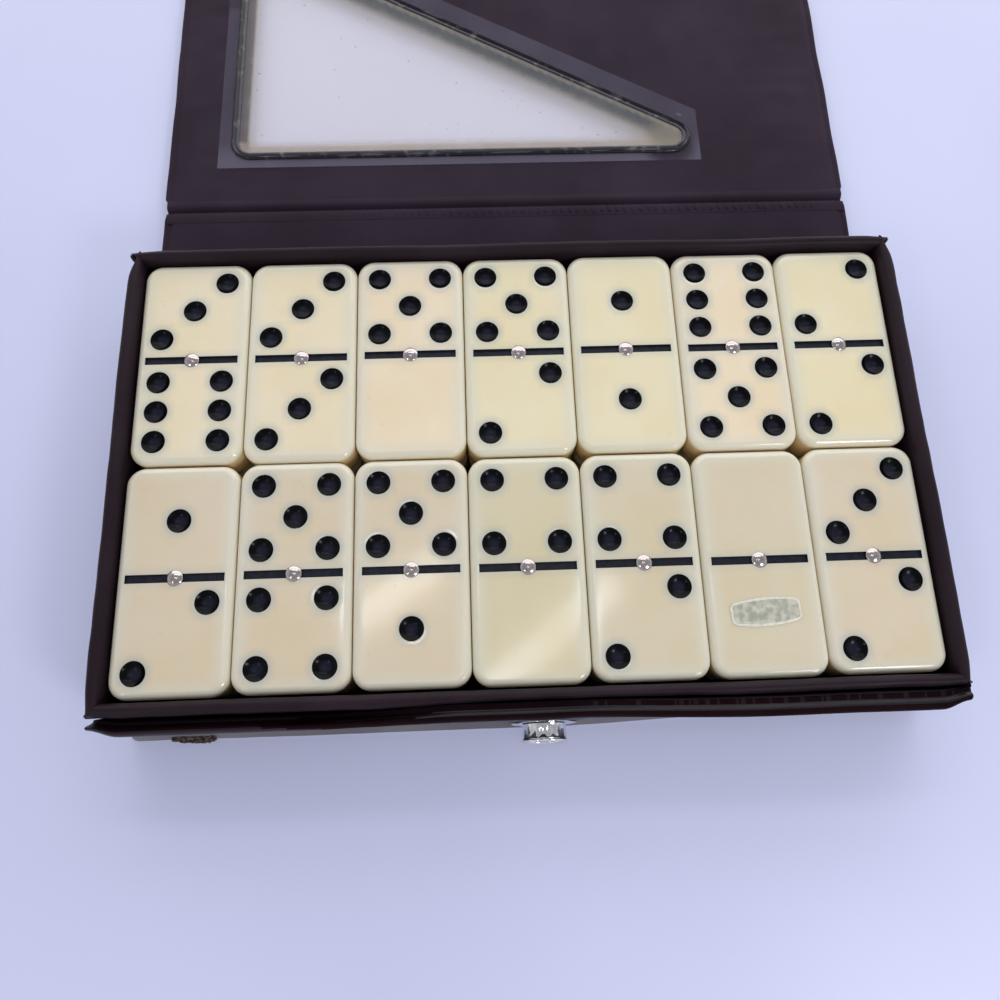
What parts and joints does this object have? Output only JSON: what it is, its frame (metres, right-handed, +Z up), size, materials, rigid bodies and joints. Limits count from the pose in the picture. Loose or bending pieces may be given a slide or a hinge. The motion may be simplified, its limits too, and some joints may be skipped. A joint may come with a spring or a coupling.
{
  "type": "domino box",
  "caption": "Vinyl-covered snap case with a windowed folding lid and a front flap, its tray filled with stacked dominoes.",
  "frame": {"origin": "middle of the tray's flat underside, under the middle of the tile grid, on the surface it stands on", "axes": "+X along the rows of tiles to the right, +Y towards the hinged back, +Z up"},
  "size_m": [0.1918, 0.2849, 0.0243],
  "materials": {
    "vinyl": "grained satin",
    "card": "matte",
    "liner": "matte",
    "ivory_plastic": "gloss",
    "clear_vinyl": "clear",
    "chrome": "polished",
    "spring_wire": "drawn wire",
    "foil": "foil"
  },
  "bodies": {
    "tray": {"base_skin": "vinyl", "base_board": "card", "floor_liner": "liner", "back_wall_cover": "vinyl", "front_wall_cover": "vinyl", "left_wall_cover": "vinyl", "right_wall_cover": "vinyl", "long_wall_boards": "card", "side_wall_boards": "card", "front_panel_cover": "vinyl", "front_panel_board": "card", "snap_flange": "chrome", "snap_barrel": "chrome", "snap_rivet": "chrome", "back_fold": "vinyl"},
    "spine": {"spine_outer_skin": "vinyl", "spine_board": "card", "spine_inner_skin": "vinyl", "lid_fold": "vinyl"},
    "lid": {"lid_outer_skin": "vinyl", "lid_board": "card", "lid_inner_skin": "vinyl", "window_sheet": "clear_vinyl", "window_bead": "vinyl", "flap_fold": "vinyl"},
    "flap": {"flap_outer_skin": "vinyl", "flap_board": "card", "flap_inner_skin": "vinyl", "snap_socket": "chrome", "snap_spring": "spring_wire", "snap_cap": "chrome"},
    "tile_0_1": {"domino_0_1": "ivory_plastic"},
    "tile_3_6": {"domino_3_6": "ivory_plastic"},
    "tile_6_6": {"domino_6_6": "ivory_plastic"},
    "tile_3_3": {"domino_3_3": "ivory_plastic"},
    "tile_0_2": {"domino_0_2": "ivory_plastic"},
    "tile_0_5": {"domino_0_5": "ivory_plastic"},
    "tile_3_4": {"domino_3_4": "ivory_plastic"},
    "tile_2_5": {"domino_2_5": "ivory_plastic"},
    "tile_1_6": {"domino_1_6": "ivory_plastic"},
    "tile_1_1": {"domino_1_1": "ivory_plastic"},
    "tile_5_5": {"domino_5_5": "ivory_plastic"},
    "tile_5_6": {"domino_5_6": "ivory_plastic"},
    "tile_0_3": {"domino_0_3": "ivory_plastic"},
    "tile_2_2": {"domino_2_2": "ivory_plastic"},
    "tile_0_6": {"domino_0_6": "ivory_plastic"},
    "tile_1_2": {"domino_1_2": "ivory_plastic"},
    "tile_1_3": {"domino_1_3": "ivory_plastic"},
    "tile_4_5": {"domino_4_5": "ivory_plastic"},
    "tile_4_4": {"domino_4_4": "ivory_plastic"},
    "tile_1_5": {"domino_1_5": "ivory_plastic"},
    "tile_2_6": {"domino_2_6": "ivory_plastic"},
    "tile_0_4": {"domino_0_4": "ivory_plastic"},
    "tile_1_4": {"domino_1_4": "ivory_plastic"},
    "tile_2_4": {"domino_2_4": "ivory_plastic"},
    "tile_3_5": {"domino_3_5": "ivory_plastic"},
    "tile_0_0": {"domino_0_0": "ivory_plastic", "blank_label": "foil"},
    "tile_4_6": {"domino_4_6": "ivory_plastic"},
    "tile_2_3": {"domino_2_3": "ivory_plastic"}
  },
  "joints": [
    {"name": "case_back_fold", "type": "hinge", "parent": "tray", "child": "spine", "pos_m": [0, 0.05598, 0.0012], "axis": [-1, 0, 0], "range_deg": [-87.5, 0]},
    {"name": "case_lid_fold", "type": "hinge", "parent": "spine", "child": "lid", "pos_m": [0, 0.08056, 0.00227], "axis": [-1, 0, 0], "range_deg": [-93.02, 0]},
    {"name": "case_flap_fold", "type": "hinge", "parent": "lid", "child": "flap", "pos_m": [0, 0.19882, 0.0012], "axis": [-1, 0, 0], "range_deg": [-80.4, 0]},
    {"name": "lift_0_1", "type": "slide", "parent": "tray", "child": "tile_0_1", "axis": [0, 0, 1], "range_m": [0, 0.025]},
    {"name": "lift_3_6", "type": "slide", "parent": "tile_0_1", "child": "tile_3_6", "axis": [0, 0, 1], "range_m": [0, 0.02]},
    {"name": "lift_6_6", "type": "slide", "parent": "tray", "child": "tile_6_6", "axis": [0, 0, 1], "range_m": [0, 0.025]},
    {"name": "lift_3_3", "type": "slide", "parent": "tile_6_6", "child": "tile_3_3", "axis": [0, 0, 1], "range_m": [0, 0.02]},
    {"name": "lift_0_2", "type": "slide", "parent": "tray", "child": "tile_0_2", "axis": [0, 0, 1], "range_m": [0, 0.025]},
    {"name": "lift_0_5", "type": "slide", "parent": "tile_0_2", "child": "tile_0_5", "axis": [0, 0, 1], "range_m": [0, 0.02]},
    {"name": "lift_3_4", "type": "slide", "parent": "tray", "child": "tile_3_4", "axis": [0, 0, 1], "range_m": [0, 0.025]},
    {"name": "lift_2_5", "type": "slide", "parent": "tile_3_4", "child": "tile_2_5", "axis": [0, 0, 1], "range_m": [0, 0.02]},
    {"name": "lift_1_6", "type": "slide", "parent": "tray", "child": "tile_1_6", "axis": [0, 0, 1], "range_m": [0, 0.025]},
    {"name": "lift_1_1", "type": "slide", "parent": "tile_1_6", "child": "tile_1_1", "axis": [0, 0, 1], "range_m": [0, 0.02]},
    {"name": "lift_5_5", "type": "slide", "parent": "tray", "child": "tile_5_5", "axis": [0, 0, 1], "range_m": [0, 0.025]},
    {"name": "lift_5_6", "type": "slide", "parent": "tile_5_5", "child": "tile_5_6", "axis": [0, 0, 1], "range_m": [0, 0.02]},
    {"name": "lift_0_3", "type": "slide", "parent": "tray", "child": "tile_0_3", "axis": [0, 0, 1], "range_m": [0, 0.025]},
    {"name": "lift_2_2", "type": "slide", "parent": "tile_0_3", "child": "tile_2_2", "axis": [0, 0, 1], "range_m": [0, 0.02]},
    {"name": "lift_0_6", "type": "slide", "parent": "tray", "child": "tile_0_6", "axis": [0, 0, 1], "range_m": [0, 0.025]},
    {"name": "lift_1_2", "type": "slide", "parent": "tile_0_6", "child": "tile_1_2", "axis": [0, 0, 1], "range_m": [0, 0.02]},
    {"name": "lift_1_3", "type": "slide", "parent": "tray", "child": "tile_1_3", "axis": [0, 0, 1], "range_m": [0, 0.025]},
    {"name": "lift_4_5", "type": "slide", "parent": "tile_1_3", "child": "tile_4_5", "axis": [0, 0, 1], "range_m": [0, 0.02]},
    {"name": "lift_4_4", "type": "slide", "parent": "tray", "child": "tile_4_4", "axis": [0, 0, 1], "range_m": [0, 0.025]},
    {"name": "lift_1_5", "type": "slide", "parent": "tile_4_4", "child": "tile_1_5", "axis": [0, 0, 1], "range_m": [0, 0.02]},
    {"name": "lift_2_6", "type": "slide", "parent": "tray", "child": "tile_2_6", "axis": [0, 0, 1], "range_m": [0, 0.025]},
    {"name": "lift_0_4", "type": "slide", "parent": "tile_2_6", "child": "tile_0_4", "axis": [0, 0, 1], "range_m": [0, 0.02]},
    {"name": "lift_1_4", "type": "slide", "parent": "tray", "child": "tile_1_4", "axis": [0, 0, 1], "range_m": [0, 0.025]},
    {"name": "lift_2_4", "type": "slide", "parent": "tile_1_4", "child": "tile_2_4", "axis": [0, 0, 1], "range_m": [0, 0.02]},
    {"name": "lift_3_5", "type": "slide", "parent": "tray", "child": "tile_3_5", "axis": [0, 0, 1], "range_m": [0, 0.025]},
    {"name": "lift_0_0", "type": "slide", "parent": "tile_3_5", "child": "tile_0_0", "axis": [0, 0, 1], "range_m": [0, 0.02]},
    {"name": "lift_4_6", "type": "slide", "parent": "tray", "child": "tile_4_6", "axis": [0, 0, 1], "range_m": [0, 0.025]},
    {"name": "lift_2_3", "type": "slide", "parent": "tile_4_6", "child": "tile_2_3", "axis": [0, 0, 1], "range_m": [0, 0.02]}
  ]
}
